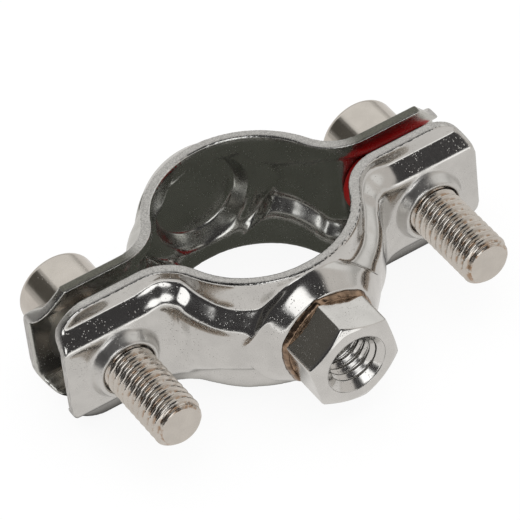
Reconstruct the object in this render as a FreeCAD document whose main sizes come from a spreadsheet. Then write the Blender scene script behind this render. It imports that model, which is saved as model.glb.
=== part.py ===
import FreeCAD, Part
import math
import os

import Sketcher
from FreeCAD import Placement, Rotation, Vector

# Two-piece pipe clamp with two screws and a threaded boss for a hanging rod.
# The pipe runs along Z.  The ears run along X, the front half is on the -Y side
# and the screw heads are on the +Y side.  The origin is the centre of the pipe's
# bore, at half the height of the band.  All sizes are millimetres.

SIZES = [
    ("pipe_radius", 10.65, "outer radius of the pipe that the rims hold"),
    ("band_height", 16.5, "height of the band along the pipe"),
    ("sheet_thickness", 1.2, "thickness of the stamped sheet"),
    ("rim_gap", 2.0, "gap between the rims of the two ears at rest"),
    ("channel_depth", 1.98, "how far the middle of the band stands out from its rims"),
    ("web_half_height", 3.9, "half the height of the flat middle of the channel"),
    ("land_start", 6.75, "height where the bend ends and the flat rim starts"),
    ("bend_radius", 0.8, "inside radius of the channel's bends"),
    ("neck_radius", 6.0, "radius of the neck between ring and ear, on the pipe's side"),
    ("screw_spacing", 38.9, "distance between the two screw axes"),
    ("front_ear_length", 26.1, "end of the front ears from the pipe's axis"),
    ("front_corner_above", 4.6, "corner radius at the top of a front ear"),
    ("front_corner_below", 5.0, "corner radius at the bottom of a front ear"),
    ("rear_ear_length", 26.4, "end of the rear ears from the pipe's axis"),
    ("rear_corner_above", 3.9, "length of the chamfer at the top corner of a rear ear"),
    ("rear_corner_drop", 3.0, "height of the chamfer at the top corner of a rear ear"),
    ("rear_corner_below", 6.2, "corner radius at the bottom of a rear ear"),
    ("seat_radius", 6.3, "radius of the flat seat pressed in the middle of each half"),
    ("seat_face", 14.1, "distance of the seat's outer face from the pipe's axis"),
    ("seat_foot_radius", 8.35, "radius of the seat where it meets the rims"),
    ("seat_foot", 10.7, "distance of the seat's foot from the pipe's axis"),
    ("collar_foot_radius", 4.3, "outer radius of the drawn collar at the ear"),
    ("collar_mouth_radius", 3.6, "outer radius of the drawn collar at its mouth"),
    ("collar_height", 1.45, "height of the drawn collar over the ear's face"),
    ("collar_bore_radius", 3.1, "radius of the collar's tapped bore"),
    ("clearance_hole_radius", 3.3, "radius of the plain holes in the rear ears"),
    ("screw_length", 20.0, "length of a screw under its head"),
    ("thread_radius", 3.0, "major radius of the M6 thread"),
    ("thread_pitch", 1.0, "pitch of the M6 thread"),
    ("thread_depth", 0.55, "depth of the screw's thread"),
    ("thread_start", 1.2, "where the thread starts under the head"),
    ("tip_chamfer", 0.7, "chamfer at the screw's tip"),
    ("head_radius", 4.6, "radius of a screw's head"),
    ("head_height", 6.0, "height of a screw's head"),
    ("head_rim_radius", 0.8, "rounding of the head's outer rim"),
    ("head_seat_radius", 4.0, "radius of the face that the head bears on"),
    ("head_seat_rise", 0.3, "height of the chamfer round the head's bearing face"),
    ("socket_width", 5.0, "width across the flats of the hexagon socket"),
    ("socket_depth", 3.0, "depth of the hexagon socket"),
    ("spacer_end_radius", 4.6, "radius of the spacer's two round ends"),
    ("spacer_end_offset", 1.75, "distance from the spacer's hole to the centre of a round end"),
    ("spacer_half_width", 3.85, "half the distance between the spacer's two flats"),
    ("spacer_thickness", 5.8, "thickness of the spacer between the two halves"),
    ("spacer_hole_radius", 3.1, "radius of the spacer's hole"),
    ("nut_width", 10.0, "width across the flats of the welded nut"),
    ("nut_height", 5.4, "height of the welded nut with the foot that the weld holds"),
    ("nut_turn", 41.6, "angle of the nut's first corner from +X, in degrees"),
    ("nut_bore_radius", 2.5, "minor radius of the nut's M6 thread"),
    ("nut_mouth_radius", 3.5, "radius of the countersink at the nut's mouths"),
    ("nut_mouth_depth", 0.75, "depth of the countersink at the nut's mouths"),
    ("nut_face_radius", 4.75, "radius of the round face inside the nut's cut corners"),
    ("nut_corner_height", 0.6, "height of the cut at the nut's corners"),
    ("weld_radius", 6.2, "outer radius of the weld bead"),
    ("weld_crest_radius", 5.9, "radius of the weld bead's crest"),
    ("weld_foot_height", 0.25, "height of the weld bead at its outer edge"),
    ("weld_height", 0.7, "height of the weld bead's crest over the seat"),
]

MARGIN = 1.0  # how far a cutting shape reaches past what it cuts

doc = FreeCAD.newDocument("pipe_clamp")


# ---------------------------------------------------------------- sizes


def make_sheet():
    sheet = doc.addObject("Spreadsheet::Sheet", "Sizes")
    for row, (name, value, note) in enumerate(SIZES, start=1):
        sheet.set(f"A{row}", name)
        sheet.set(f"B{row}", str(value))
        sheet.set(f"C{row}", note)
        sheet.setAlias(f"B{row}", name)
    doc.recompute()
    return sheet


sizes = make_sheet()


def size(name):
    return float(sizes.get(name))


# ---------------------------------------------------------------- sketch helpers

START, END, CENTRE = 1, 2, 3
ORIGIN = (-1, 1)
HORIZONTAL_AXIS = -1
VERTICAL_AXIS = -2


def new_body(label):
    body = doc.addObject("PartDesign::Body", label)
    body.Label = label
    return body


def sketch_on(body, role, name):
    """A sketch on one of the body's own origin planes."""
    sketch = body.newObject("Sketcher::SketchObject", name)
    plane = next(item for item in body.Origin.OriginFeatures if item.Role == role)
    sketch.AttachmentSupport = [(plane, "")]
    sketch.MapMode = "FlatFace"
    return sketch


def line(x1, y1, x2, y2):
    return Part.LineSegment(Vector(x1, y1, 0), Vector(x2, y2, 0))


def arc(x, y, radius, first, last):
    """An arc that runs counter-clockwise between two angles in degrees."""
    circle = Part.Circle(Vector(x, y, 0), Vector(0, 0, 1), radius)
    return Part.ArcOfCircle(circle, math.radians(first), math.radians(last))


def bind(sketch, constraint, expression):
    """Add a dimension and drive it from the sheet."""
    index = sketch.addConstraint(constraint)
    sketch.setExpression(f"Constraints[{index}]", expression)


def gap_x(sketch, first, second, value, expression):
    """The distance along the sketch's X from one point to another, which is positive."""
    bind(sketch, Sketcher.Constraint("DistanceX", *first, *second, value), expression)


def gap_y(sketch, first, second, value, expression):
    bind(sketch, Sketcher.Constraint("DistanceY", *first, *second, value), expression)


def radius_of(sketch, geometry, value, expression):
    bind(sketch, Sketcher.Constraint("Radius", geometry, value), expression)


def join(sketch, first, second, kind="Coincident"):
    sketch.addConstraint(Sketcher.Constraint(kind, *first, *second))


def polygon(sketch, corners):
    """A closed run of lines; each corner is (x, x expression, y, y expression)."""
    count = len(corners)
    for index in range(count):
        here = corners[index]
        after = corners[(index + 1) % count]
        sketch.addGeometry(line(here[0], here[2], after[0], after[2]), False)
    for index in range(count):
        join(sketch, (index, END), ((index + 1) % count, START))
    for index, (x, x_expression, y, y_expression) in enumerate(corners):
        pin_point(sketch, (index, START), x, x_expression, "X")
        pin_point(sketch, (index, START), y, y_expression, "Y")


def pin_point(sketch, point, value, expression, along):
    """Hold one coordinate of a point at a signed distance from the sketch's origin."""
    axis_line = VERTICAL_AXIS if along == "X" else HORIZONTAL_AXIS
    if expression is None:
        sketch.addConstraint(Sketcher.Constraint("PointOnObject", *point, axis_line))
        return
    kind = "DistanceX" if along == "X" else "DistanceY"
    if value < 0:
        bind(sketch, Sketcher.Constraint(kind, *point, *ORIGIN, -value), expression)
    else:
        bind(sketch, Sketcher.Constraint(kind, *ORIGIN, *point, value), expression)


def turned(body, kind, sketch, name, axis="V_Axis"):
    """A Revolution or a Groove all the way round one of the sketch's axes."""
    feature = body.newObject(f"PartDesign::{kind}", name)
    feature.Profile = sketch
    feature.ReferenceAxis = (sketch, [axis])
    feature.Angle = 360.0
    feature.Refine = True
    return feature


# ---------------------------------------------------------------- the stamped halves


def channel_path(body, ear_end):
    """The pipe's side of a rim seen from above: ear, neck, ring, neck, ear."""
    ring = size("pipe_radius")
    neck = size("neck_radius")
    half_gap = size("rim_gap") / 2
    neck_y = -(half_gap + neck)
    neck_x = math.sqrt((ring + neck) ** 2 - neck_y ** 2)
    turn = math.degrees(math.atan2(-neck_y, neck_x))
    reach = size(ear_end) + MARGIN

    sketch = sketch_on(body, "XY_Plane", body.Name + "_path")
    sketch.addGeometry(line(-reach, -half_gap, -neck_x, -half_gap), False)
    sketch.addGeometry(arc(-neck_x, neck_y, neck, turn, 90), False)
    sketch.addGeometry(arc(0, 0, ring, 180 + turn, 360 - turn), False)
    sketch.addGeometry(arc(neck_x, neck_y, neck, 90, 180 - turn), False)
    sketch.addGeometry(line(neck_x, -half_gap, reach, -half_gap), False)
    join(sketch, (0, END), (1, END), "Tangent")
    join(sketch, (1, START), (2, START), "Tangent")
    join(sketch, (2, END), (3, END), "Tangent")
    join(sketch, (3, START), (4, START), "Tangent")
    join(sketch, (2, CENTRE), ORIGIN)
    sketch.addConstraint(Sketcher.Constraint("Horizontal", 0))
    sketch.addConstraint(Sketcher.Constraint("Horizontal", 4))
    radius_of(sketch, 2, ring, "Sizes.pipe_radius")
    radius_of(sketch, 1, neck, "Sizes.neck_radius")
    radius_of(sketch, 3, neck, "Sizes.neck_radius")
    gap_y(sketch, (0, START), ORIGIN, half_gap, "Sizes.rim_gap / 2")
    gap_y(sketch, (4, END), ORIGIN, half_gap, "Sizes.rim_gap / 2")
    gap_x(sketch, (0, START), ORIGIN, reach, f"Sizes.{ear_end} + {MARGIN}")
    gap_x(sketch, ORIGIN, (4, END), reach, f"Sizes.{ear_end} + {MARGIN}")
    return sketch


def channel_section(body, ear_end):
    """The upper half of the channel's cross-section, across the end of one ear."""
    half_gap = size("rim_gap") / 2
    sheet = size("sheet_thickness")
    depth = size("channel_depth")
    bend = size("bend_radius")
    web = size("web_half_height")
    land = size("land_start")
    top = size("band_height") / 2

    slope = bend_slope(depth, bend, sheet, land - web)
    turn = math.radians(slope)
    out_y = -half_gap - bend - sheet
    in_y = -half_gap - depth + bend
    sine = math.sin(turn)
    cosine = math.cos(turn)
    wide = bend + sheet

    sketch = sketch_on(body, "YZ_Plane", body.Name + "_section")
    sketch.setExpression("AttachmentOffset.Base.z", f"-(Sizes.{ear_end} + {MARGIN})")
    rim_low = (out_y + wide * cosine, land - wide * sine)
    web_high = (in_y - bend * cosine, web + bend * sine)
    rim_low_out = (out_y + bend * cosine, land - bend * sine)
    web_high_out = (in_y - wide * cosine, web + wide * sine)
    outline = [
        line(-half_gap, top, -half_gap, land),
        arc(out_y, land, wide, -slope, 0),
        line(*rim_low, *web_high),
        arc(in_y, web, bend, 180 - slope, 180),
        line(-half_gap - depth, web, -half_gap - depth, 0),
        line(-half_gap - depth, 0, -half_gap - depth - sheet, 0),
        line(-half_gap - depth - sheet, 0, -half_gap - depth - sheet, web),
        arc(in_y, web, wide, 180 - slope, 180),
        line(*web_high_out, *rim_low_out),
        arc(out_y, land, bend, -slope, 0),
        line(-half_gap - sheet, land, -half_gap - sheet, top),
        line(-half_gap - sheet, top, -half_gap, top),
    ]
    for edge in outline:
        sketch.addGeometry(edge, False)
    join(sketch, (0, END), (1, END), "Tangent")
    join(sketch, (1, START), (2, START), "Tangent")
    join(sketch, (2, END), (3, START), "Tangent")
    join(sketch, (3, END), (4, START), "Tangent")
    join(sketch, (4, END), (5, START))
    join(sketch, (5, END), (6, START))
    join(sketch, (6, END), (7, END), "Tangent")
    join(sketch, (7, START), (8, START), "Tangent")
    join(sketch, (8, END), (9, START), "Tangent")
    join(sketch, (9, END), (10, START), "Tangent")
    join(sketch, (10, END), (11, START))
    join(sketch, (11, END), (0, START))
    join(sketch, (1, CENTRE), (9, CENTRE))
    join(sketch, (3, CENTRE), (7, CENTRE))
    for upright in (0, 4, 6, 10):
        sketch.addConstraint(Sketcher.Constraint("Vertical", upright))
    for level in (5, 11):
        sketch.addConstraint(Sketcher.Constraint("Horizontal", level))
    sketch.addConstraint(Sketcher.Constraint("PointOnObject", 4, END, HORIZONTAL_AXIS))
    gap_x(sketch, (0, START), ORIGIN, half_gap, "Sizes.rim_gap / 2")
    gap_y(sketch, ORIGIN, (0, START), top, "Sizes.band_height / 2")
    gap_y(sketch, ORIGIN, (0, END), land, "Sizes.land_start")
    gap_y(sketch, ORIGIN, (4, START), web, "Sizes.web_half_height")
    gap_x(sketch, (4, START), (0, START), depth, "Sizes.channel_depth")
    gap_x(sketch, (11, START), (11, END), sheet, "Sizes.sheet_thickness")
    gap_x(sketch, (5, END), (5, START), sheet, "Sizes.sheet_thickness")
    radius_of(sketch, 3, bend, "Sizes.bend_radius")
    radius_of(sketch, 9, bend, "Sizes.bend_radius")
    return sketch


def bend_slope(depth, bend, sheet, rise):
    """The slope of the channel's wall, in degrees from the pipe's direction."""
    arcs = 2 * bend + sheet
    low, high = 1.0, 89.0
    for _ in range(60):
        slope = (low + high) / 2
        turn = math.radians(slope)
        straight = (depth - arcs * (1 - math.cos(turn))) / math.sin(turn)
        if arcs * math.sin(turn) + straight * math.cos(turn) > rise:
            low = slope
        else:
            high = slope
    return slope


def add_channel(body, ear_end):
    """Sweep the upper half of the section along the path and mirror it downwards."""
    path = channel_path(body, ear_end)
    section = channel_section(body, ear_end)
    doc.recompute()
    sweep = body.newObject("PartDesign::AdditivePipe", body.Name + "_upper_half")
    sweep.Profile = section
    sweep.Spine = (path, [f"Edge{number}" for number in range(1, 6)])
    sweep.Mode = "Frenet"
    doc.recompute()
    mirror = body.newObject("PartDesign::Mirrored", body.Name + "_both_halves")
    mirror.Originals = [sweep]
    plane = next(item for item in body.Origin.OriginFeatures if item.Role == "XY_Plane")
    mirror.MirrorPlane = (plane, [""])
    mirror.Refine = True
    body.Tip = mirror
    doc.recompute()
    return mirror


def seat_slope():
    """How much the seat's wall widens for each millimetre towards the pipe."""
    spread = size("seat_foot_radius") - size("seat_radius")
    return spread / (size("seat_face") - size("seat_foot"))


def add_seat(body):
    """Press the round flat in the middle of the half: a boss outside, its hollow inside."""
    face = size("seat_face")
    foot = size("seat_foot")
    sheet = size("sheet_thickness")
    boss = sketch_on(body, "XY_Plane", body.Name + "_seat_outside")
    polygon(boss, [
        (0, None, -face, "Sizes.seat_face"),
        (size("seat_radius"), "Sizes.seat_radius", -face, "Sizes.seat_face"),
        (size("seat_foot_radius"), "Sizes.seat_foot_radius", -foot, "Sizes.seat_foot"),
        (0, None, -foot, "Sizes.seat_foot"),
    ])
    turned(body, "Revolution", boss, body.Name + "_seat_boss")

    slope = seat_slope()
    floor_radius = size("seat_radius") - sheet
    mouth_y = foot - sheet
    mouth_radius = floor_radius + slope * (face - sheet - mouth_y)
    floor_text = "Sizes.seat_radius - Sizes.sheet_thickness"
    slope_text = "(Sizes.seat_foot_radius - Sizes.seat_radius) / (Sizes.seat_face - Sizes.seat_foot)"
    mouth_text = f"{floor_text} + {slope_text} * (Sizes.seat_face - Sizes.seat_foot)"
    hollow = sketch_on(body, "XY_Plane", body.Name + "_seat_inside")
    polygon(hollow, [
        (0, None, -(face - sheet), "Sizes.seat_face - Sizes.sheet_thickness"),
        (floor_radius, floor_text, -(face - sheet), "Sizes.seat_face - Sizes.sheet_thickness"),
        (mouth_radius, mouth_text, -mouth_y, "Sizes.seat_foot - Sizes.sheet_thickness"),
        (0, None, -mouth_y, "Sizes.seat_foot - Sizes.sheet_thickness"),
    ])
    turned(body, "Groove", hollow, body.Name + "_seat_hollow")


def trim_ears(body, ear_end, corner_above, corner_drop, corner_below):
    """Cut both ears to their outline, seen along Y.

    The top corners are chamfered where their length and their drop differ, or else round.
    """
    reach = size(ear_end)
    top = size("band_height") / 2
    above = size(corner_above)
    drop = size(corner_drop)
    chamfered = corner_drop != corner_above
    below = size(corner_below)
    outside_x = reach + 3 * MARGIN
    outside_z = top + 3 * MARGIN

    if chamfered:
        corner_right = line(reach, top - drop, reach - above, top)
        corner_left = line(-reach + above, top, -reach, top - drop)
    else:
        corner_right = arc(reach - above, top - above, above, 0, 90)
        corner_left = arc(-reach + above, top - above, above, 90, 180)
    sketch = sketch_on(body, "XZ_Plane", body.Name + "_outline")
    outline = [
        line(-reach + above, top, reach - above, top),
        corner_right,
        line(reach, top - drop, reach, -top + below),
        arc(reach - below, -top + below, below, 270, 360),
        line(reach - below, -top, -reach + below, -top),
        arc(-reach + below, -top + below, below, 180, 270),
        line(-reach, -top + below, -reach, top - drop),
        corner_left,
        line(-outside_x, outside_z, outside_x, outside_z),
        line(outside_x, outside_z, outside_x, -outside_z),
        line(outside_x, -outside_z, -outside_x, -outside_z),
        line(-outside_x, -outside_z, -outside_x, outside_z),
    ]
    for edge in outline:
        sketch.addGeometry(edge, False)
    upper_kind = "Coincident" if chamfered else "Tangent"
    join(sketch, (0, END), (1, END), upper_kind)
    join(sketch, (1, START), (2, START), upper_kind)
    join(sketch, (2, END), (3, END), "Tangent")
    join(sketch, (3, START), (4, START), "Tangent")
    join(sketch, (4, END), (5, END), "Tangent")
    join(sketch, (5, START), (6, START), "Tangent")
    join(sketch, (6, END), (7, END), upper_kind)
    join(sketch, (7, START), (0, START), upper_kind)
    for first, second in ((8, 9), (9, 10), (10, 11), (11, 8)):
        join(sketch, (first, END), (second, START))
    for level in (0, 4, 8, 10):
        sketch.addConstraint(Sketcher.Constraint("Horizontal", level))
    for upright in (2, 6, 9, 11):
        sketch.addConstraint(Sketcher.Constraint("Vertical", upright))
    if chamfered:
        gap_x(sketch, (1, END), (1, START), above, f"Sizes.{corner_above}")
        gap_y(sketch, (1, START), (1, END), drop, f"Sizes.{corner_drop}")
        gap_x(sketch, (7, END), (7, START), above, f"Sizes.{corner_above}")
        gap_y(sketch, (7, END), (7, START), drop, f"Sizes.{corner_drop}")
    else:
        radius_of(sketch, 1, above, f"Sizes.{corner_above}")
        radius_of(sketch, 7, above, f"Sizes.{corner_above}")
    radius_of(sketch, 3, below, f"Sizes.{corner_below}")
    radius_of(sketch, 5, below, f"Sizes.{corner_below}")
    half_height = "Sizes.band_height / 2"
    gap_y(sketch, ORIGIN, (0, START), top, half_height)
    gap_y(sketch, (4, START), ORIGIN, top, half_height)
    gap_x(sketch, ORIGIN, (2, START), reach, f"Sizes.{ear_end}")
    gap_x(sketch, (6, START), ORIGIN, reach, f"Sizes.{ear_end}")
    gap_x(sketch, ORIGIN, (9, START), outside_x, f"Sizes.{ear_end} + {3 * MARGIN}")
    gap_x(sketch, (11, START), ORIGIN, outside_x, f"Sizes.{ear_end} + {3 * MARGIN}")
    gap_y(sketch, ORIGIN, (8, START), outside_z, f"{half_height} + {3 * MARGIN}")
    gap_y(sketch, (10, START), ORIGIN, outside_z, f"{half_height} + {3 * MARGIN}")
    trim = body.newObject("PartDesign::Pocket", body.Name + "_trim")
    trim.Profile = sketch
    trim.Midplane = True
    trim.setExpression("Length", "4 * Sizes.seat_face")
    return trim


def ear_face():
    """Distance of an ear's outer face from the plane between the two halves."""
    return size("rim_gap") / 2 + size("channel_depth") + size("sheet_thickness")


EAR_FACE = "(Sizes.rim_gap / 2 + Sizes.channel_depth + Sizes.sheet_thickness)"
EAR_BACK = "(Sizes.rim_gap / 2 + Sizes.channel_depth)"


def offset_axis(sketch, side):
    """A construction line along a screw's axis, which is parallel to Y."""
    x = side * size("screw_spacing") / 2
    index = sketch.addGeometry(line(x, 0, x, -1), True)
    sketch.addConstraint(Sketcher.Constraint("Vertical", index))
    sketch.addConstraint(Sketcher.Constraint("PointOnObject", index, START, HORIZONTAL_AXIS))
    bind(sketch, Sketcher.Constraint("DistanceY", index, END, index, START, 1.0), "1.0")
    pin_point(sketch, (index, START), x, "Sizes.screw_spacing / 2", "X")


def ear_profile(body, name, side, rings):
    """A closed outline beside a screw's axis; each ring is (radius, text, depth, text)."""
    sketch = sketch_on(body, "XY_Plane", name)
    spacing = size("screw_spacing") / 2
    sign = "+" if side > 0 else "-"
    corners = []
    for radius, radius_text, depth, depth_text in rings:
        x = side * (spacing + side * radius)
        text = f"Sizes.screw_spacing / 2 {sign} ({radius_text})"
        corners.append((x, text, -depth, depth_text))
    polygon(sketch, corners)
    offset_axis(sketch, side)
    return sketch


def add_collar(body, side):
    """Draw the sheet out round a screw hole and bore it for the thread."""
    face = ear_face()
    sheet = size("sheet_thickness")
    back = face - sheet
    mouth = face + size("collar_height")
    inside = face - sheet / 2
    mouth_text = f"{EAR_FACE} + Sizes.collar_height"
    inside_text = f"{EAR_FACE} - Sizes.sheet_thickness / 2"
    bore = size("collar_bore_radius")
    bore_text = "Sizes.collar_bore_radius"
    wall = ear_profile(body, f"{body.Name}_collar_{side_name(side)}", side, [
        (0, "0", inside, inside_text),
        (size("collar_foot_radius"), "Sizes.collar_foot_radius", inside, inside_text),
        (size("collar_foot_radius"), "Sizes.collar_foot_radius", face, EAR_FACE),
        (size("collar_mouth_radius"), "Sizes.collar_mouth_radius", mouth, mouth_text),
        (0, "0", mouth, mouth_text),
    ])
    turned(body, "Revolution", wall, f"{body.Name}_collar_wall_{side_name(side)}", "Axis0")
    funnel = size("collar_foot_radius") - sheet / 2
    funnel_text = "Sizes.collar_foot_radius - Sizes.sheet_thickness / 2"
    past = mouth + MARGIN
    hole = ear_profile(body, f"{body.Name}_tap_{side_name(side)}", side, [
        (0, "0", back - MARGIN, f"{EAR_BACK} - {MARGIN}"),
        (funnel, funnel_text, back - MARGIN, f"{EAR_BACK} - {MARGIN}"),
        (funnel, funnel_text, back, EAR_BACK),
        (bore, bore_text, face, EAR_FACE),
        (bore, bore_text, past, f"{mouth_text} + {MARGIN}"),
        (0, "0", past, f"{mouth_text} + {MARGIN}"),
    ])
    turned(body, "Groove", hole, f"{body.Name}_tapped_bore_{side_name(side)}", "Axis0")


def add_clearance_hole(body, side):
    """A plain hole through a rear ear."""
    back = ear_face() - size("sheet_thickness") - MARGIN
    past = ear_face() + MARGIN
    radius = size("clearance_hole_radius")
    text = "Sizes.clearance_hole_radius"
    hole = ear_profile(body, f"{body.Name}_hole_{side_name(side)}", side, [
        (0, "0", back, f"{EAR_BACK} - {MARGIN}"),
        (radius, text, back, f"{EAR_BACK} - {MARGIN}"),
        (radius, text, past, f"{EAR_FACE} + {MARGIN}"),
        (0, "0", past, f"{EAR_FACE} + {MARGIN}"),
    ])
    turned(body, "Groove", hole, f"{body.Name}_clearance_{side_name(side)}", "Axis0")


def side_name(side):
    return "right" if side > 0 else "left"


def make_shell(label, ear_end, corner_above, corner_drop, corner_below):
    body = new_body(label)
    add_channel(body, ear_end)
    add_seat(body)
    doc.recompute()
    trim_ears(body, ear_end, corner_above, corner_drop, corner_below)
    doc.recompute()
    return body


def make_front_shell():
    body = make_shell("front_shell", "front_ear_length", "front_corner_above",
                      "front_corner_above", "front_corner_below")
    for side in (-1, 1):
        add_collar(body, side)
        doc.recompute()
    return body


def make_rear_shell():
    """The rear half is drawn like the front one and turned half a turn about the pipe."""
    body = make_shell("rear_shell", "rear_ear_length", "rear_corner_above",
                      "rear_corner_drop", "rear_corner_below")
    for side in (-1, 1):
        add_clearance_hole(body, side)
        doc.recompute()
    body.Placement = Placement(Vector(0, 0, 0), Rotation(Vector(0, 0, 1), 180))
    return body


# ---------------------------------------------------------------- nut, weld, spacer, screws


def stand_along_minus_y(body, x_text, y_text, turn=0.0):
    """Point a body's own +Z to -Y and its own +Y to +Z, then move it into place."""
    rotation = Rotation(Vector(1, 0, 0), 90) * Rotation(Vector(0, 0, 1), turn)
    body.Placement = Placement(Vector(0, 0, 0), rotation)
    body.setExpression("Placement.Base.x", x_text)
    body.setExpression("Placement.Base.y", y_text)


def hexagon(sketch, width, expression):
    """A regular hexagon round the origin with a corner on the sketch's X axis."""
    corner = width / math.sqrt(3)
    points = [(corner * math.cos(math.radians(60 * k)), corner * math.sin(math.radians(60 * k)))
              for k in range(6)]
    for index in range(6):
        sketch.addGeometry(line(*points[index], *points[(index + 1) % 6]), False)
    circle = sketch.addGeometry(Part.Circle(Vector(0, 0, 0), Vector(0, 0, 1), corner), True)
    join(sketch, (circle, CENTRE), ORIGIN)
    radius_of(sketch, circle, corner, f"{expression} / sqrt(3)")
    for index in range(6):
        join(sketch, (index, END), ((index + 1) % 6, START))
        sketch.addConstraint(Sketcher.Constraint("PointOnObject", index, START, circle))
    for index in range(5):
        sketch.addConstraint(Sketcher.Constraint("Equal", index, index + 1))
    sketch.addConstraint(Sketcher.Constraint("PointOnObject", 0, START, HORIZONTAL_AXIS))


def make_nut():
    """A hexagon nut with both ends chamfered; its bore is the thread's minor diameter."""
    body = new_body("weld_nut")
    outline = sketch_on(body, "XY_Plane", "nut_outline")
    hexagon(outline, size("nut_width"), "Sizes.nut_width")
    block = body.newObject("PartDesign::Pad", "nut_block")
    block.Profile = outline
    block.setExpression("Length", "Sizes.nut_height")
    doc.recompute()

    height = size("nut_height")
    face = size("nut_face_radius")
    corner = size("nut_width") / math.sqrt(3)
    drop = size("nut_corner_height")
    past = corner + (corner - face)
    past_text = "2 * Sizes.nut_width / sqrt(3) - Sizes.nut_face_radius"
    ends = (
        ("front", height, "Sizes.nut_height", height - 2 * drop,
         "Sizes.nut_height - 2 * Sizes.nut_corner_height"),
        ("back", 0, None, 2 * drop, "2 * Sizes.nut_corner_height"),
    )
    for name, level, level_text, inner, inner_text in ends:
        cut = sketch_on(body, "XZ_Plane", f"nut_{name}_corners")
        polygon(cut, [
            (face, "Sizes.nut_face_radius", level, level_text),
            (past, past_text, level, level_text),
            (past, past_text, inner, inner_text),
        ])
        turned(body, "Groove", cut, f"nut_{name}_chamfer")
        doc.recompute()

    mouth = size("nut_mouth_radius")
    bore = size("nut_bore_radius")
    depth = size("nut_mouth_depth")
    hole = sketch_on(body, "XZ_Plane", "nut_hole")
    polygon(hole, [
        (0, None, 0, None),
        (mouth, "Sizes.nut_mouth_radius", 0, None),
        (bore, "Sizes.nut_bore_radius", depth, "Sizes.nut_mouth_depth"),
        (bore, "Sizes.nut_bore_radius", height - depth, "Sizes.nut_height - Sizes.nut_mouth_depth"),
        (mouth, "Sizes.nut_mouth_radius", height, "Sizes.nut_height"),
        (0, None, height, "Sizes.nut_height"),
    ])
    turned(body, "Groove", hole, "nut_bore")
    stand_along_minus_y(body, "0", "-Sizes.seat_face", size("nut_turn"))
    return body


def make_weld():
    """The ring of weld that joins the nut's foot to the seat."""
    body = new_body("weld_bead")
    ring = sketch_on(body, "XZ_Plane", "weld_ring")
    inner = size("nut_bore_radius")
    top = size("weld_height")
    foot = size("weld_foot_height")
    polygon(ring, [
        (inner, "Sizes.nut_bore_radius", 0, None),
        (size("weld_radius"), "Sizes.weld_radius", 0, None),
        (size("weld_radius"), "Sizes.weld_radius", foot, "Sizes.weld_foot_height"),
        (size("weld_crest_radius"), "Sizes.weld_crest_radius", top, "Sizes.weld_height"),
        (inner, "Sizes.nut_bore_radius", top, "Sizes.weld_height"),
    ])
    turned(body, "Revolution", ring, "weld_solid")
    doc.recompute()
    inside = sketch_on(body, "XY_Plane", "weld_inside")
    hexagon(inside, size("nut_width"), "Sizes.nut_width")
    cut = body.newObject("PartDesign::Pocket", "weld_round_nut")
    cut.Profile = inside
    cut.Midplane = True
    cut.setExpression("Length", "4 * Sizes.weld_height")
    stand_along_minus_y(body, "0", "-Sizes.seat_face", size("nut_turn"))
    return body


def make_spacer():
    """The block round the right screw that lies in both channels and keeps the halves apart."""
    body = new_body("ear_spacer")
    radius = size("spacer_end_radius")
    middle = size("spacer_end_offset")
    half = size("spacer_half_width")
    hole = size("spacer_hole_radius")
    turn = math.degrees(math.asin(half / radius))
    reach = middle + math.sqrt(radius ** 2 - half ** 2)
    sketch = sketch_on(body, "XY_Plane", "spacer_outline")
    sketch.addGeometry(arc(middle, 0, radius, -turn, turn), False)
    sketch.addGeometry(line(reach, half, -reach, half), False)
    sketch.addGeometry(arc(-middle, 0, radius, 180 - turn, 180 + turn), False)
    sketch.addGeometry(line(-reach, -half, reach, -half), False)
    sketch.addGeometry(Part.Circle(Vector(0, 0, 0), Vector(0, 0, 1), hole), False)
    for index in range(4):
        join(sketch, (index, END), ((index + 1) % 4, START))
    join(sketch, (4, CENTRE), ORIGIN)
    for end in (0, 2):
        sketch.addConstraint(Sketcher.Constraint("PointOnObject", end, CENTRE, HORIZONTAL_AXIS))
        radius_of(sketch, end, radius, "Sizes.spacer_end_radius")
    for level in (1, 3):
        sketch.addConstraint(Sketcher.Constraint("Horizontal", level))
    gap_x(sketch, ORIGIN, (0, CENTRE), middle, "Sizes.spacer_end_offset")
    gap_x(sketch, (2, CENTRE), ORIGIN, middle, "Sizes.spacer_end_offset")
    radius_of(sketch, 4, hole, "Sizes.spacer_hole_radius")
    gap_y(sketch, ORIGIN, (1, START), half, "Sizes.spacer_half_width")
    gap_y(sketch, (3, START), ORIGIN, half, "Sizes.spacer_half_width")
    block = body.newObject("PartDesign::Pad", "spacer_block")
    block.Profile = sketch
    block.setExpression("Length", "Sizes.spacer_thickness")
    stand_along_minus_y(body, "Sizes.screw_spacing / 2", EAR_BACK)
    return body


def make_screw(side):
    """A socket-head screw with a cut thread; its own origin is under the head."""
    name = f"{side_name(side)}_screw"
    body = new_body(name)
    add_blank(body, name)
    doc.recompute()
    socket = sketch_on(body, "XY_Plane", f"{name}_socket_outline")
    socket.setExpression("AttachmentOffset.Base.z", "-Sizes.head_height")
    hexagon(socket, size("socket_width"), "Sizes.socket_width")
    pocket = body.newObject("PartDesign::Pocket", f"{name}_socket")
    pocket.Profile = socket
    pocket.Reversed = True
    pocket.setExpression("Length", "Sizes.socket_depth")
    doc.recompute()
    add_thread(body, name)
    stand_along_minus_y(body, f"{side} * Sizes.screw_spacing / 2", EAR_FACE)
    return body


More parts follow.
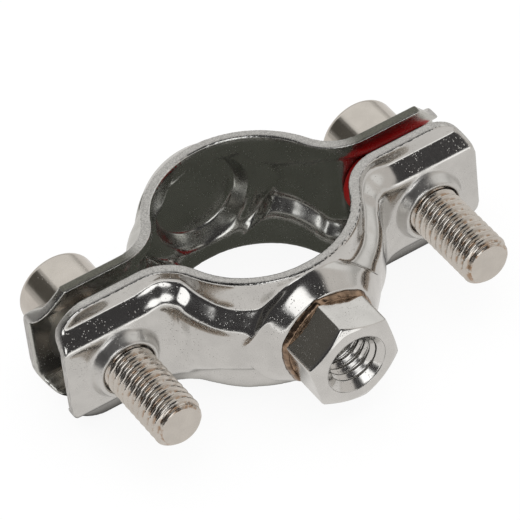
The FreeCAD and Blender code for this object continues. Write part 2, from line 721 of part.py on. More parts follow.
def add_blank(body, name):
    """The head and the shank, turned about Z, with a rounded rim and a chamfered tip."""
    head = size("head_radius")
    height = size("head_height")
    rim = size("head_rim_radius")
    shank = size("thread_radius")
    length = size("screw_length")
    chamfer = size("tip_chamfer")
    seat = size("head_seat_radius")
    rise = size("head_seat_rise")
    sketch = sketch_on(body, "XZ_Plane", f"{name}_outline")
    outline = [
        line(0, -height, head - rim, -height),
        arc(head - rim, -height + rim, rim, 270, 360),
        line(head, -height + rim, head, -rise),
        line(head, -rise, seat, 0),
        line(seat, 0, shank, 0),
        line(shank, 0, shank, length - chamfer),
        line(shank, length - chamfer, shank - chamfer, length),
        line(shank - chamfer, length, 0, length),
        line(0, length, 0, -height),
    ]
    for edge in outline:
        sketch.addGeometry(edge, False)
    join(sketch, (0, END), (1, START), "Tangent")
    join(sketch, (1, END), (2, START), "Tangent")
    for index in range(2, 9):
        join(sketch, (index, END), ((index + 1) % 9, START))
    for level in (0, 4, 7):
        sketch.addConstraint(Sketcher.Constraint("Horizontal", level))
    for upright in (2, 5):
        sketch.addConstraint(Sketcher.Constraint("Vertical", upright))
    sketch.addConstraint(Sketcher.Constraint("PointOnObject", 4, START, HORIZONTAL_AXIS))
    sketch.addConstraint(Sketcher.Constraint("PointOnObject", 8, START, VERTICAL_AXIS))
    sketch.addConstraint(Sketcher.Constraint("PointOnObject", 8, END, VERTICAL_AXIS))
    radius_of(sketch, 1, rim, "Sizes.head_rim_radius")
    gap_y(sketch, (0, START), ORIGIN, height, "Sizes.head_height")
    gap_y(sketch, (3, START), ORIGIN, rise, "Sizes.head_seat_rise")
    gap_x(sketch, ORIGIN, (3, START), head, "Sizes.head_radius")
    gap_x(sketch, ORIGIN, (4, START), seat, "Sizes.head_seat_radius")
    gap_x(sketch, ORIGIN, (5, START), shank, "Sizes.thread_radius")
    gap_y(sketch, ORIGIN, (7, END), length, "Sizes.screw_length")
    gap_x(sketch, (6, END), (6, START), chamfer, "Sizes.tip_chamfer")
    gap_y(sketch, (6, START), (6, END), chamfer, "Sizes.tip_chamfer")
    turned(body, "Revolution", sketch, f"{name}_blank")


def add_thread(body, name):
    """Cut the 60 degree thread along a right-hand helix, past the end of the tip."""
    outer = size("thread_radius")
    pitch = size("thread_pitch")
    depth = size("thread_depth")
    first = size("thread_start")
    root = pitch / 8
    lift = pitch / 20
    rise = math.tan(math.radians(30))
    open_half = root + (depth + lift) * rise
    open_text = "(Sizes.thread_pitch / 8 + (Sizes.thread_depth + Sizes.thread_pitch / 20) * tan(30))"
    sketch = sketch_on(body, "XZ_Plane", f"{name}_groove_outline")
    outer_text = "Sizes.thread_radius + Sizes.thread_pitch / 20"
    root_text = "Sizes.thread_radius - Sizes.thread_depth"
    polygon(sketch, [
        (outer - depth, root_text, first - root, "Sizes.thread_start - Sizes.thread_pitch / 8"),
        (outer + lift, outer_text, first - open_half, f"Sizes.thread_start - {open_text}"),
        (outer + lift, outer_text, first + open_half, f"Sizes.thread_start + {open_text}"),
        (outer - depth, root_text, first + root, "Sizes.thread_start + Sizes.thread_pitch / 8"),
    ])
    thread = body.newObject("PartDesign::SubtractiveHelix", f"{name}_thread")
    thread.Profile = sketch
    thread.ReferenceAxis = (sketch, ["V_Axis"])
    thread.Mode = "pitch-height-angle"
    thread.setExpression("Pitch", "Sizes.thread_pitch")
    thread.setExpression("Height", "Sizes.screw_length - Sizes.thread_start + Sizes.thread_pitch")
    thread.Angle = 0
    thread.LeftHanded = False
    thread.Reversed = False


def main():
    parts = [make_front_shell(), make_rear_shell(), make_nut(), make_weld(), make_spacer()]
    for side in (-1, 1):
        parts.append(make_screw(side))
    doc.recompute()
    check(parts)
    os.makedirs("parts", exist_ok=True)
    for part in parts:
        part.Shape.exportStep(f"parts/{part.Label}.step")
        print(f"{part.Label}: {part.Shape.Volume:.2f} mm3, {len(part.Shape.Faces)} faces")


def check(parts):
    """Stop before anything is written if an object failed or a shape is broken."""
    for item in doc.Objects:
        if "Invalid" in item.State or "Error" in item.State:
            raise RuntimeError(f"{item.Name} failed: {item.State}")
        if item.TypeId == "Sketcher::SketchObject" and not item.FullyConstrained:
            print(f"{item.Name} is not fully constrained")
    for part in parts:
        if part.Shape.isNull() or not part.Shape.isValid():
            raise RuntimeError(f"{part.Label} has no valid shape")


main()
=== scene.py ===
import math

import bmesh
import bpy
import numpy as np
from mathutils import Matrix, Vector


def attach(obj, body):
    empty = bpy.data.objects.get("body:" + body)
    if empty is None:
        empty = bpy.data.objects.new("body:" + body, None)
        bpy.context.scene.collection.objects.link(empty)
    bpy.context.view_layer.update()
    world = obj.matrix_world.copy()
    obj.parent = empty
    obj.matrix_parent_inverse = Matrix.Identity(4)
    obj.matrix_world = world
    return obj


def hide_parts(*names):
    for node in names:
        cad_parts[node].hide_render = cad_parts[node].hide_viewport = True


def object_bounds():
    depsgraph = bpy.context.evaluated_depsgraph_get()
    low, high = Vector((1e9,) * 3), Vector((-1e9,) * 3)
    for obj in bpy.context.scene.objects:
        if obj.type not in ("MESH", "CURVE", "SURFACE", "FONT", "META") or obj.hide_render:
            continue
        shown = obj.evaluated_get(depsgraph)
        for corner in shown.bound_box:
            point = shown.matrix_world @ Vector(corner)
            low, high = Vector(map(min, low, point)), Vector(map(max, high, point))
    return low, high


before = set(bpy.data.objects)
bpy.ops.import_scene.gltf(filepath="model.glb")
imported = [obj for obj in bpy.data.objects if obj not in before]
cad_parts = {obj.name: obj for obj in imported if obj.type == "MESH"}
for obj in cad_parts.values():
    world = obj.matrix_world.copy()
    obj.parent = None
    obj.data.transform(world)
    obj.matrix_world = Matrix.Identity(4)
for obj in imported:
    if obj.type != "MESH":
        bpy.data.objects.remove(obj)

CAD_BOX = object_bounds()
MM = 0.001

# The camera stands to the left of the front, well above the clamp, far away with a long lens.
CAMERA_AZIMUTH = 27.9
CAMERA_ELEVATION = 44.7
CAMERA_ROLL = -6.89
CAMERA_DISTANCE = 484.1 * MM
CAMERA_LENS = 311.6
CAMERA_AIM = Vector((0.0, 0.4, 0.0)) * MM
CAMERA_ASIDE = Vector((0.575, -0.21)) * MM

FLOOR_Z = CAD_BOX[0].z

# Sizes of the clamp in millimetres, as its solids have them.
RIM_HEIGHT = CAD_BOX[1].z / MM
RING_RADIUS = 10.65
NECK_RADIUS = 6.0
RIM_Y = 1.0
WEB_HALF_HEIGHT = 3.9
LAND_START = 6.75
SCREW_X = 19.45
SEAT_FACE = 14.1
NUT_WIDTH = 10.0
NUT_HEIGHT = 5.4
NUT_TURN = 41.6
NUT_MINOR_RADIUS = 2.5
NUT_MAJOR_RADIUS = 3.0
THREAD_PITCH = 1.0

# The visual nut's chamfers and countersinks, which differ a little from the solid's.
NUT_CHAMFER_SLOPE = 0.53
NUT_FACE_RADIUS = 4.8
NUT_MOUTH_RADIUS = 3.65
NUT_MOUTH_DEPTH = 1.15

NEARLY_ZERO = 1e-6


# ---------------------------------------------------------------- camera and studio


def make_camera():
    """The scene's camera, from its angles and its distance from the clamp."""
    azimuth = math.radians(CAMERA_AZIMUTH)
    elevation = math.radians(CAMERA_ELEVATION)
    roll = math.radians(CAMERA_ROLL)
    forward = Vector((
        math.sin(azimuth) * math.cos(elevation),
        math.cos(azimuth) * math.cos(elevation),
        -math.sin(elevation),
    ))
    level_right = Vector((math.cos(azimuth), -math.sin(azimuth), 0.0))
    level_up = level_right.cross(forward)
    right = level_right * math.cos(roll) + level_up * math.sin(roll)
    up = right.cross(forward)
    data = bpy.data.cameras.new("camera")
    data.lens = CAMERA_LENS
    data.clip_start = 10 * MM
    data.clip_end = 5.0
    camera = bpy.data.objects.new("camera", data)
    place = Matrix((right, up, -forward)).transposed().to_4x4()
    aside = right * CAMERA_ASIDE.x + up * CAMERA_ASIDE.y
    place.translation = CAMERA_AIM + aside - forward * CAMERA_DISTANCE
    camera.matrix_world = place
    bpy.context.scene.collection.objects.link(camera)
    bpy.context.scene.camera = camera


def area_light(name, place, size, power):
    """A soft box that lights matt things only: the world gives what the steel reflects."""
    data = bpy.data.lights.new(name, "AREA")
    data.size = size
    data.energy = power
    light = bpy.data.objects.new(name, data)
    light.location = Vector(place)
    light.rotation_mode = "QUATERNION"
    light.rotation_quaternion = (-Vector(place)).to_track_quat("-Z", "Y")
    light.visible_glossy = False
    bpy.context.scene.collection.objects.link(light)


class Nodes:
    """A short way to add and join the nodes of one material or of the world."""

    def __init__(self, tree):
        self.tree = tree
        tree.nodes.clear()

    def add(self, kind, **settings):
        node = self.tree.nodes.new(kind)
        for name, value in settings.items():
            setattr(node, name, value)
        return node

    def feed(self, socket, value):
        if isinstance(value, bpy.types.NodeSocket):
            self.tree.links.new(value, socket)
        elif value is not None:
            socket.default_value = value

    def math(self, operation, first, second=None, third=None):
        node = self.add("ShaderNodeMath", operation=operation)
        for socket, value in zip(node.inputs, (first, second, third)):
            self.feed(socket, value)
        return node.outputs[0]

    def vector(self, operation, first, second=None):
        node = self.add("ShaderNodeVectorMath", operation=operation)
        self.feed(node.inputs[0], first)
        self.feed(node.inputs["Scale" if operation == "SCALE" else 1], second)
        return node.outputs[1 if operation in ("DOT_PRODUCT", "LENGTH") else 0]

    def smooth(self, value, low, high):
        node = self.add("ShaderNodeMapRange", interpolation_type="SMOOTHSTEP", clamp=True)
        self.feed(node.inputs["Value"], value)
        node.inputs["From Min"].default_value = low
        node.inputs["From Max"].default_value = high
        return node.outputs[0]

    def mix(self, factor, first, second):
        node = self.add("ShaderNodeMix", data_type="RGBA")
        self.feed(node.inputs[0], factor)
        self.feed(node.inputs[6], first)
        self.feed(node.inputs[7], second)
        return node.outputs[2]

    def split(self, vector):
        node = self.add("ShaderNodeSeparateXYZ")
        self.feed(node.inputs[0], vector)
        return node.outputs

    def noise(self, place, scale, detail=2.0, roughness=0.5):
        node = self.add("ShaderNodeTexNoise")
        self.feed(node.inputs["Vector"], place)
        node.inputs["Scale"].default_value = scale
        node.inputs["Detail"].default_value = detail
        node.inputs["Roughness"].default_value = roughness
        return node.outputs["Fac"]

    def millimetres(self):
        """The place on the object, in millimetres of the CAD frame."""
        return self.vector("SCALE", self.add("ShaderNodeTexCoord").outputs["Object"], 1 / MM)


def colour(*parts):
    return (*parts, 1.0) if len(parts) == 3 else (parts[0], parts[0], parts[0], 1.0)


def new_material(name):
    """A material and the short way to its nodes."""
    material = bpy.data.materials.new(name)
    material.use_nodes = True
    return material, Nodes(material.node_tree)


def finish_material(n, shader, height, strength):
    """Give the shader its bump, from a height in millimetres, and the material its surface."""
    bump = n.add("ShaderNodeBump")
    bump.inputs["Strength"].default_value = strength
    bump.inputs["Distance"].default_value = MM
    n.feed(bump.inputs["Height"], height)
    n.feed(shader.inputs["Normal"], bump.outputs[0])
    output = n.add("ShaderNodeOutputMaterial")
    n.feed(output.inputs["Surface"], shader.outputs[0])


def make_world():
    """White, except for reflections, which see a studio.

    Behind is a light tent with a dark gap. In front is a dark room with a bright horizon, a grey
    right side and one soft box.
    """
    gap_towards = (-0.60, 0.63, 0.49)
    box_towards = (-0.23, -0.79, 0.57)
    world = bpy.data.worlds.new("studio")
    bpy.context.scene.world = world
    world.use_nodes = True
    n = Nodes(world.node_tree)
    look = n.add("ShaderNodeTexCoord").outputs["Generated"]
    parts = n.split(look)
    tent = n.mix(n.smooth(parts["Z"], 0.05, 0.35), colour(0.50, 0.49, 0.47), colour(0.86, 0.85, 0.83))
    gap = n.vector("DOT_PRODUCT", look, gap_towards)
    tent = n.mix(n.smooth(gap, 0.90, 0.975), tent, colour(0.085, 0.08, 0.07))
    left = n.math("MINIMUM", parts["X"], 0.0)
    low = n.smooth(n.math("MULTIPLY_ADD", left, -0.15, parts["Z"]), 0.14, 0.22)
    room = n.mix(low, colour(1.40, 1.39, 1.37), colour(0.045, 0.043, 0.044))
    room = n.mix(n.smooth(parts["X"], 0.42, 0.55), room, colour(0.66, 0.63, 0.60))
    box = n.vector("DOT_PRODUCT", look, box_towards)
    room = n.mix(n.smooth(box, 0.938, 0.966), room, colour(1.6))
    back = n.smooth(n.math("MULTIPLY_ADD", parts["X"], 0.45, parts["Y"]), -0.05, 0.25)
    both = n.mix(back, room, tent)
    rays = n.add("ShaderNodeLightPath").outputs
    seen = n.mix(rays["Is Glossy Ray"], colour(1.0), both)
    background = n.add("ShaderNodeBackground")
    n.feed(background.inputs["Color"], seen)
    output = n.add("ShaderNodeOutputWorld")
    n.feed(output.inputs["Surface"], background.outputs[0])


def make_floor():
    """A plain pale floor, which reflections see in shadow right under the clamp at rest."""
    shade_half_depth = 2.0
    shade_end = 25.0
    glow_share = 0.9
    bpy.ops.mesh.primitive_plane_add(size=4.0, location=(0, 0, FLOOR_Z))
    floor = bpy.context.object
    floor.name = "floor"
    material, n = new_material("floor")
    place = n.millimetres()
    parts = n.split(place)
    ring = n.math("ADD", n.vector("LENGTH", n.vector("MULTIPLY", place, (1.0, 1.0, 0.0))), -RING_RADIUS)
    across = n.math("ADD", n.math("ABSOLUTE", parts["Y"]), -shade_half_depth)
    along = n.math("ADD", n.math("ABSOLUTE", parts["X"]), -shade_end)
    outside = n.math("MINIMUM", ring, n.math("MAXIMUM", across, along))
    ears = n.smooth(n.math("ABSOLUTE", parts["X"]), 11.0, 15.0)
    shade = n.mix(ears, colour(0.062, 0.064, 0.052), colour(0.018, 0.016, 0.014))
    reflected = n.mix(n.smooth(outside, -0.5, 3.0), shade, colour(0.76, 0.74, 0.72))
    matt = n.add("ShaderNodeBsdfDiffuse")
    matt.inputs["Color"].default_value = colour(0.9)
    glow = n.add("ShaderNodeEmission")
    rays = n.add("ShaderNodeLightPath").outputs
    n.feed(glow.inputs["Color"], n.mix(rays["Is Glossy Ray"], colour(1.0), reflected))
    share = n.math("MAXIMUM", rays["Is Glossy Ray"], glow_share)
    both = n.add("ShaderNodeMixShader")
    n.feed(both.inputs[0], share)
    n.feed(both.inputs[1], matt.outputs[0])
    n.feed(both.inputs[2], glow.outputs[0])
    output = n.add("ShaderNodeOutputMaterial")
    n.feed(output.inputs["Surface"], both.outputs[0])
    floor.data.materials.append(material)


# ---------------------------------------------------------------- materials


def sheared_edges(n, place):
    """Where a face is a sheared top or any sheared edge of the sheet, its streaks, and the spotty burr
    line along the rim that carries painted light.
    """
    normal = n.split(n.add("ShaderNodeNewGeometry").outputs["True Normal"])
    parts = n.split(place)
    upright = n.math("ABSOLUTE", normal["Z"])
    high = n.smooth(n.math("ABSOLUTE", parts["Z"]), RIM_HEIGHT - 0.45, RIM_HEIGHT - 0.2)
    top = n.math("MULTIPLY", n.smooth(upright, 0.80, 0.93), high)
    across = n.math("SUBTRACT", 1.0, n.smooth(n.math("ABSOLUTE", normal["Y"]), 0.3, 0.5))
    end = n.math("MULTIPLY", across, n.smooth(n.math("ABSOLUTE", parts["X"]), 23.4, 24.2))
    mask = n.math("MAXIMUM", top, end)
    streaks = n.noise(n.vector("MULTIPLY", place, (8.0, 8.0, 0.8)), 1.0, 3.0, 0.7)
    # The burr line is a spotty band on the rounded edge just below the sheared tops, and its tone is
    # painted light.
    border = n.math("MULTIPLY", n.smooth(upright, 0.25, 0.45), n.math("SUBTRACT", 1.0, mask))
    spots = n.smooth(n.noise(place, 3.0, 2.0), 0.47, 0.56)
    painted_burr_line = n.math("MULTIPLY", n.math("MULTIPLY", border, high), spots)
    return top, mask, streaks, painted_burr_line


def from_screw(n, place):
    """How far the place is from the nearer screw's axis."""
    parts = n.split(place)
    across = n.add("ShaderNodeCombineXYZ")
    n.feed(across.inputs[0], n.math("SUBTRACT", n.math("ABSOLUTE", parts["X"]), SCREW_X))
    n.feed(across.inputs[2], parts["Z"])
    return n.vector("LENGTH", across.outputs[0])


def steel(name, tone, roughness, pitting=1.0, sheared=None, groove_tone=None, clouds=0.92):
    """Bright steel with fine pits and a slight orange peel.

    sheared gives the tones of its sheared edges at the pipe and on top of the ears, and of the
    spotty burr line along their rim, whose tone is painted light: a painted dark line on the front
    half, a painted highlight on the rear half. The next argument gives a darker brown tone, in
    blotches, to the grooves round the screws; clouds is the darkest share of tone.
    """
    material, n = new_material(name)
    place = n.millimetres()
    shader = n.add("ShaderNodeBsdfPrincipled")
    shader.inputs["Metallic"].default_value = 1.0
    peel = n.math("MULTIPLY", n.noise(place, 0.9, 3.0), 0.010)
    patches = n.smooth(n.noise(place, 0.35, 2.0), 0.38, 0.60)
    cells = n.add("ShaderNodeTexVoronoi")
    n.feed(cells.inputs["Vector"], place)
    cells.inputs["Scale"].default_value = 4.4
    chosen = n.smooth(n.split(cells.outputs["Color"])["X"], 0.40, 0.55)
    dots = n.math("SUBTRACT", 1.0, n.smooth(cells.outputs["Distance"], 0.12, 0.30))
    pits = n.math("MULTIPLY", n.math("MULTIPLY", dots, chosen), patches)
    height = n.math("MULTIPLY_ADD", pits, -0.012 * pitting, peel)
    cloud_scale = 0.5 if clouds > 0.5 else 0.9  # strong clouds are finer
    cloud = n.smooth(n.noise(place, cloud_scale, 3.0), 0.3, 0.7)
    base = n.mix(cloud, colour(*[v * clouds for v in tone]), colour(*tone))
    rough = n.math("MULTIPLY_ADD", n.noise(place, 2.5, 4.0), 0.06, roughness - 0.03)
    rough = n.math("MULTIPLY_ADD", pits, 0.45 * pitting, rough)
    if sheared:
        at_pipe, at_ears, burr_painted_light = sheared
        top, mask, streaks, painted_burr_line = sheared_edges(n, place)
        ear = n.math("MULTIPLY", top, n.smooth(n.math("ABSOLUTE", n.split(place)["X"]), 12.0, 15.5))
        edge = n.mix(ear, colour(*at_pipe), colour(*at_ears))
        edge = n.mix(n.smooth(streaks, 0.35, 0.65), n.mix(0.42, edge, colour(0.0)), edge)
        # The burr line takes the painted tone given in sheared.
        base = n.mix(painted_burr_line, n.mix(mask, base, edge), colour(*burr_painted_light))
        rough = n.math("MULTIPLY_ADD", mask, 0.25, rough)
        collar = n.math("SUBTRACT", 1.0, n.smooth(from_screw(n, place), 4.4, 5.2))
        rough = n.math("MULTIPLY_ADD", collar, 0.16, rough)
        height = n.math("ADD", height, n.math("MULTIPLY", n.math("MULTIPLY", mask, streaks), 0.03))
    # A darker, browner tone in blotches deep in the thread's grooves, but not on faces that look along
    # the screw.
    if groove_tone:
        groove = n.math("SUBTRACT", 1.0, n.smooth(from_screw(n, place), 2.45, 2.85))
        normal = n.split(n.add("ShaderNodeNewGeometry").outputs["True Normal"])
        side = n.math("SUBTRACT", 1.0, n.smooth(n.math("ABSOLUTE", normal["Y"]), 0.80, 0.92))
        groove = n.math("MULTIPLY", groove, side)
        blotch = n.smooth(n.noise(place, 1.6, 4.0), 0.40, 0.62)
        base = n.mix(n.math("MULTIPLY", groove, blotch), base, colour(*groove_tone))
        rough = n.math("MULTIPLY_ADD", groove, 0.1, rough)
    n.feed(shader.inputs["Base Color"], base)
    n.feed(shader.inputs["Roughness"], rough)
    finish_material(n, shader, height, 1.0)
    return material


def plastic(name, tone):
    """A glossy moulded plastic with a faint grain."""
    material, n = new_material(name)
    place = n.millimetres()
    shader = n.add("ShaderNodeBsdfPrincipled")
    cloud = n.noise(place, 0.8, 3.0)
    n.feed(shader.inputs["Base Color"], n.mix(cloud, colour(*[v * 0.8 for v in tone]), colour(*tone)))
    n.feed(shader.inputs["Roughness"], n.math("MULTIPLY_ADD", cloud, 0.1, 0.28))
    finish_material(n, shader, n.noise(place, 5.0, 2.0), 0.05)
    return material


# ---------------------------------------------------------------- shapes


def new_piece(name, mesh, body, node, material):
    """A smooth-shaded piece that rides on a body and stands for a CAD node."""
    piece = bpy.data.objects.new(name, mesh)
    bpy.context.scene.collection.objects.link(piece)
    mesh.materials.clear()
    mesh.materials.append(material)
    for face in mesh.polygons:
        face.use_smooth = True
    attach(piece, body)
    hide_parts(node)
    return piece


def relax(points, edges, weights, passes):
    """Move every point towards the middle of its neighbours, by its own weight."""
    count = len(points)
    ends = np.concatenate((edges, edges[:, ::-1]))
    number = np.bincount(ends[:, 0], minlength=count)[:, None]
    for _ in range(passes):
        middle = np.stack([
            np.bincount(ends[:, 0], weights=points[ends[:, 1], axis], minlength=count)
            for axis in range(3)
        ], axis=1) / number
        points = points + weights[:, None] * (middle - points)
    return points


# How a mesh is softened: the step of one pass, how the sheared rims are told from the rest, and
# the extra passes round the foot of a seat.
RELAX_STEP = 0.5
RIM_MARGIN = 0.1
RIM_FADE = 0.5
SEAT_PASSES = 36


def softened(node, voxel, passes, edge_share, shape=None):
    """A copy of a node's solid with even small faces and soft creases and edges.

    edge_share is how much of the softening the sheared rims get. shape moves the points of the
    even mesh before its creases are softened.
    """
    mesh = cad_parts[node].data.copy()
    mesh.transform(Matrix.Scale(1 / MM, 4))
    helper = bpy.data.objects.new(node + "_helper", mesh)
    bpy.context.scene.collection.objects.link(helper)
    remesh = helper.modifiers.new("remesh", "REMESH")
    remesh.mode = "VOXEL"
    remesh.voxel_size = voxel
    bpy.context.view_layer.update()
    result = bpy.data.meshes.new_from_object(helper.evaluated_get(bpy.context.evaluated_depsgraph_get()))
    bpy.data.objects.remove(helper)
    points = np.empty(len(result.vertices) * 3)
    result.vertices.foreach_get("co", points)
    points = points.reshape(-1, 3)
    edges = np.empty(len(result.edges) * 2, dtype=np.int32)
    result.edges.foreach_get("vertices", edges)
    edges = edges.reshape(-1, 2)
    inside = np.clip((RIM_HEIGHT - RIM_MARGIN - np.abs(points[:, 2])) / RIM_FADE, 0.0, 1.0)
    weights = RELAX_STEP * (edge_share + (1 - edge_share) * inside)
    if shape:
        points = shape(points)
        points = relax(points, edges, RELAX_STEP * round_seat(points), SEAT_PASSES)
    points = relax(points, edges, weights, passes)
    result.vertices.foreach_set("co", (points * MM).ravel())
    result.update()
    return result


def smoothstep(value, low, high):
    share = np.clip((value - low) / (high - low), 0.0, 1.0)
    return share * share * (3 - 2 * share)


# Along a half, from the ear (below 0) over the neck (0 to 6.8) to the seat, in millimetres of
# the pipe's side of the rim: where the web ends and where the rim's flat land starts.
RELIEF_PLACES = (-3.0, -1.0, 2.5, 5.5, 7.5, 9.5, 11.0, 19.0)
RELIEF_WEB = (3.9, 3.9, 4.3, 3.9, 2.8, 2.0, 1.8, 1.8)
RELIEF_LAND = (6.75, 6.75, 7.5, 7.3, 6.3, 5.4, 5.1, 5.1)

# Where the relief sets in, as a distance from the boss's axis.
RELIEF_FADE = (7.3, 8.7)

# How far from the boss's axis the seat's flank runs, in the solid and as it is pressed: above and
# below the boss first, then beside it. The two blend over FLANK_LEVELS, and the flank is further
# from the pipe's axis than FLANK_DEPTH.
FLANK_BEFORE = (5.0, 6.3, 7.6, 8.2)
FLANK_TOP = (5.0, 5.95, 7.85, 8.2)
FLANK_BEFORE_ASIDE = (5.0, 6.3, 8.0, 9.5)
FLANK_ASIDE = (5.0, 5.95, 8.6, 9.5)
FLANK_LEVELS = (4.5, 6.5)
FLANK_DEPTH = 9.0

# The front half's lower edge is drawn in. It starts at the first place and is full past the
# second, and it grows from a level down to the rim.
DRAWN_IN = 0.7
DRAWN_PLACES = (3.0, 9.0)
DRAWN_LEVEL = 4.0
DRAWN_FADE = 4.25

# The rear half's right tip is shorter than in the solid, by a share of what lies past its start.
TIP_START = 22.5
TIP_SHARE = 0.28

# The band round a seat's foot: where it fades in and out from the boss's axis, how deep it starts,
# and where it ends below the rim.
BAND_START = (7.0, 7.9)
BAND_END = (9.6, 10.8)
BAND_DEPTH = (7.0, 8.5)
BAND_RIM = (6.9, 7.7)


def pressed(points, front):
    """Give the channel the pressed shape that it has round the ring and at the necks.

    The sweep has one section all the way; in the pressed half the web is narrower beside the
    seat, the bend reaches up to the rim at the necks, and the seat's flank is less steep.
    """
    side = 1.0 if front else -1.0
    x = np.abs(points[:, 0])
    y = points[:, 1] * side
    z = np.abs(points[:, 2])
    neck_y = -(RIM_Y + NECK_RADIUS)
    neck_x = math.sqrt((RING_RADIUS + NECK_RADIUS) ** 2 - neck_y ** 2)
    turn = math.atan2(neck_x, -neck_y)
    around = np.arctan2(x, -y)
    on_ring = (around < turn) & (x < neck_x)
    on_neck = ~on_ring & (x < neck_x)
    from_neck = np.arctan2(neck_x - x, np.maximum(y - neck_y, NEARLY_ZERO))
    place = np.where(on_ring, NECK_RADIUS * turn + RING_RADIUS * (turn - around), neck_x - x)
    place = np.where(on_neck, NECK_RADIUS * from_neck, place)

    web = np.interp(place, RELIEF_PLACES, RELIEF_WEB)
    land = np.interp(place, RELIEF_PLACES, RELIEF_LAND)
    share = np.clip((z - WEB_HALF_HEIGHT) / (LAND_START - WEB_HALF_HEIGHT), 0.0, 1.0)
    moved = np.where(z < WEB_HALF_HEIGHT, z * web / WEB_HALF_HEIGHT, web + share * (land - web))
    on_land = (z - LAND_START) / (RIM_HEIGHT - LAND_START)
    moved = np.where(z > LAND_START, land + on_land * (RIM_HEIGHT - land), moved)
    from_axis = np.hypot(x, z)
    beside_seat = smoothstep(from_axis, *RELIEF_FADE)
    result = points.copy()
    result[:, 2] += np.sign(points[:, 2]) * (moved - z) * beside_seat

    upper = smoothstep(z, *FLANK_LEVELS)
    top = np.interp(from_axis, FLANK_BEFORE, FLANK_TOP)
    aside = np.interp(from_axis, FLANK_BEFORE_ASIDE, FLANK_ASIDE)
    spread = (upper * top + (1 - upper) * aside) / np.maximum(from_axis, NEARLY_ZERO)
    reach = upper * FLANK_BEFORE[-1] + (1 - upper) * FLANK_BEFORE_ASIDE[-1]
    on_flank = (from_axis > FLANK_BEFORE[0]) & (from_axis < reach) & (y < -FLANK_DEPTH)
    spread = np.where(on_flank, spread, 1.0)
    result[:, 0] *= spread
    result[:, 2] *= spread
    if front:
        low = np.clip((-points[:, 2] - DRAWN_LEVEL) / DRAWN_FADE, 0.0, 1.0)
        result[:, 2] += DRAWN_IN * smoothstep(place, *DRAWN_PLACES) * low
    else:
        result[:, 0] -= TIP_SHARE * np.maximum(points[:, 0] - TIP_START, 0.0)
    return result


def round_seat(points):
    """How far a point is in the band round the seat's foot, from 0 to 1."""
    from_axis = np.hypot(points[:, 0], points[:, 2])
    band = smoothstep(from_axis, *BAND_START) * (1 - smoothstep(from_axis, *BAND_END))
    deep = smoothstep(np.abs(points[:, 1]), *BAND_DEPTH)
    below_rim = 1 - smoothstep(np.abs(points[:, 2]), *BAND_RIM)
    return band * deep * below_rim


def tube(name, rings):
    """A closed surface from rings of points; the last ring joins the first one again."""
    points = np.array(rings)
    rows, count = points.shape[:2]
    index = np.arange(rows * count).reshape(rows, count)
    after = np.roll(index, -1, axis=0)
    faces = np.stack((index, np.roll(index, -1, axis=1), np.roll(after, -1, axis=1), after), axis=-1)
    mesh = bpy.data.meshes.new(name)
    mesh.from_pydata((points.reshape(-1, 3) * MM).tolist(), [], faces.reshape(-1, 4).tolist())
    work = bmesh.new()
    work.from_mesh(mesh)
    bmesh.ops.recalc_face_normals(work, faces=work.faces)
    work.to_mesh(mesh)
    work.free()
    return mesh


def on_seat(angle, radius, height):
    """Points round the boss's axis, at a height over the seat's face."""
    level = np.broadcast_to(-SEAT_FACE - height, angle.shape)
    return np.stack((radius * np.cos(angle), level, radius * np.sin(angle)), axis=-1)


def hexagon_radius(angle, width):
    """The radius of a hexagon with slightly rounded corners, in each direction."""
    sharpness = 18
    corner_cut = 0.05
    sixth = math.pi / 3
    off = (angle - math.radians(NUT_TURN)) % sixth - sixth / 2
    flat = width / 2 / np.cos(off)
    corner = width / math.sqrt(3) - corner_cut
    return -np.log(np.exp(-sharpness * flat) + np.exp(-sharpness * corner)) / sharpness


def nut_mesh():
    """The hexagon nut with rounded edges, countersunk mouths and its real inside thread."""
    rounding = 0.06
    flank_slope = 2.6
    root_flat = 0.25
    mouth_slope = (NUT_MOUTH_RADIUS - NUT_MINOR_RADIUS) / NUT_MOUTH_DEPTH
    angle = np.linspace(0, 2 * math.pi, 300, endpoint=False)
    hexagon = hexagon_radius(angle, NUT_WIDTH)
    shoulder = NUT_HEIGHT - (hexagon - NUT_FACE_RADIUS) * NUT_CHAMFER_SLOPE
    rings = []
    for share in np.linspace(0.0, 0.96, 12):
        rings.append(on_seat(angle, hexagon, share * shoulder))
    for share in (0.0, 0.25, 0.5, 0.75, 1.0):
        radius = hexagon - rounding + share * (NUT_FACE_RADIUS - hexagon)
        rings.append(on_seat(angle, radius, shoulder + share * (NUT_HEIGHT - shoulder)))
    for radius in (4.55, 4.3, 4.0, 3.75, 3.6):
        rings.append(on_seat(angle, np.full_like(angle, radius), NUT_HEIGHT))
    rings.append(on_seat(angle, np.full_like(angle, NUT_MOUTH_RADIUS), NUT_HEIGHT - 0.05))
    for height in np.arange(NUT_HEIGHT - 0.1, 0.02, -0.06):
        phase = (height / THREAD_PITCH - angle / (2 * math.pi)) % 1.0
        crest = np.clip(np.abs(phase - 0.5) * flank_slope - root_flat, 0.0, 1.0)
        thread = NUT_MAJOR_RADIUS - (NUT_MAJOR_RADIUS - NUT_MINOR_RADIUS) * crest
        from_end = min(height, NUT_HEIGHT - height)
        mouth = NUT_MOUTH_RADIUS - mouth_slope * from_end
        rings.append(on_seat(angle, np.maximum(thread, mouth), height))
    rings.append(on_seat(angle, np.full_like(angle, NUT_MOUTH_RADIUS), 0.0))
    return tube("nut", rings)


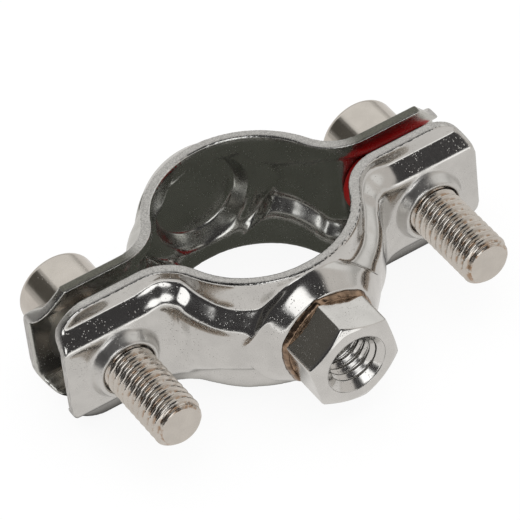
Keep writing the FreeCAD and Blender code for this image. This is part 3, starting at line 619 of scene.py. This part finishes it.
def weld_mesh():
    """A thin rippled bead round the nut's foot, which stays inside the plain ring."""
    inner = 4.7
    width = 1.5
    ripples_from = 5.1
    ripple_aside = 0.14
    ripple_height = 0.25
    hug_share = 0.45
    hug_base = 3.55
    angle = np.linspace(0, 2 * math.pi, 420, endpoint=False)
    random = np.random.default_rng(7)
    ripple = np.zeros_like(angle)
    for waves in (5, 9, 16, 27, 38):
        ripple += np.sin(waves * angle + random.uniform(0, 2 * math.pi)) / waves ** 0.3
    ripple = (ripple - ripple.max()) / np.ptp(ripple)
    profile = (
        (4.7, 0.0), (4.7, 0.45), (4.95, 0.58), (5.1, 0.55), (5.22, 0.47), (5.34, 0.46), (5.46, 0.56),
        (5.58, 0.66), (5.7, 0.70), (5.82, 0.66), (5.93, 0.55), (6.02, 0.40), (6.1, 0.24), (6.2, 0.0),
    )
    hugging = (hug_share * hexagon_radius(angle, NUT_WIDTH) + hug_base - inner) / width
    rings = []
    for radius, height in profile:
        outer = max(0.0, radius - ripples_from)
        wave = np.roll(ripple, int(9 * outer))
        spread = inner + (radius - inner) * hugging
        level = height * (1 + ripple_height * wave)
        rings.append(on_seat(angle, spread + ripple_aside * outer * wave, level))
    return tube("weld", rings)


def main():
    bpy.context.scene.view_settings.view_transform = "Standard"
    make_camera()
    make_world()
    make_floor()
    area_light("overhead", (0.0, 0.1, 0.9), 1.2, 4.0)

    grey = (0.66, 0.65, 0.63)
    # olive is a painted dark reflection, for the rear half's sheared tops over the ears.
    olive_painted_reflection = (0.20, 0.20, 0.17)
    # The last tone in each sheared set is the burr line's painted light: a painted dark line on the
    # front half.
    front_sheet = steel("front_sheet", grey, 0.14, 1.0, (grey, grey, (0.10, 0.10, 0.10)))
    # The rear half's steel is a slightly darker, greener copy of the front half's, which is painted
    # shade. Its burr line is a painted highlight.
    rear_sheet = steel("rear_sheet", (0.60, 0.60, 0.57), 0.19, 0.6, (grey, olive_painted_reflection, (0.75, 0.75, 0.74)))
    nut_steel = steel("nut_steel", (0.70, 0.69, 0.67), 0.16, 0.9)
    screw_steel = steel("screw_steel", (0.66, 0.62, 0.57), 0.14, 0.4, None, (0.40, 0.27, 0.18))
    weld_tint = steel("weld_tint", (0.42, 0.29, 0.20), 0.22, 0.5, clouds=0.32)
    red = plastic("red", (0.42, 0.004, 0.004))

    front = softened("front_shell", 0.16, 10, 0.3, lambda points: pressed(points, True))
    new_piece("front_shell_soft", front, "front_half", "front_shell", front_sheet)
    rear = softened("rear_shell", 0.16, 10, 0.3, lambda points: pressed(points, False))
    new_piece("rear_shell_soft", rear, "rear_half", "rear_shell", rear_sheet)
    new_piece("weld_nut_threaded", nut_mesh(), "front_half", "weld_nut", nut_steel)
    new_piece("weld_bead_rippled", weld_mesh(), "front_half", "weld_bead", weld_tint)
    spacer = softened("ear_spacer", 0.15, 3, 1.0)
    new_piece("ear_spacer_soft", spacer, "rear_half", "ear_spacer", red)
    for side in ("left", "right"):
        screw = softened(f"{side}_screw", 0.1, 4, 1.0)
        new_piece(f"{side}_screw_soft", screw, f"{side}_screw", f"{side}_screw", screw_steel)


main()
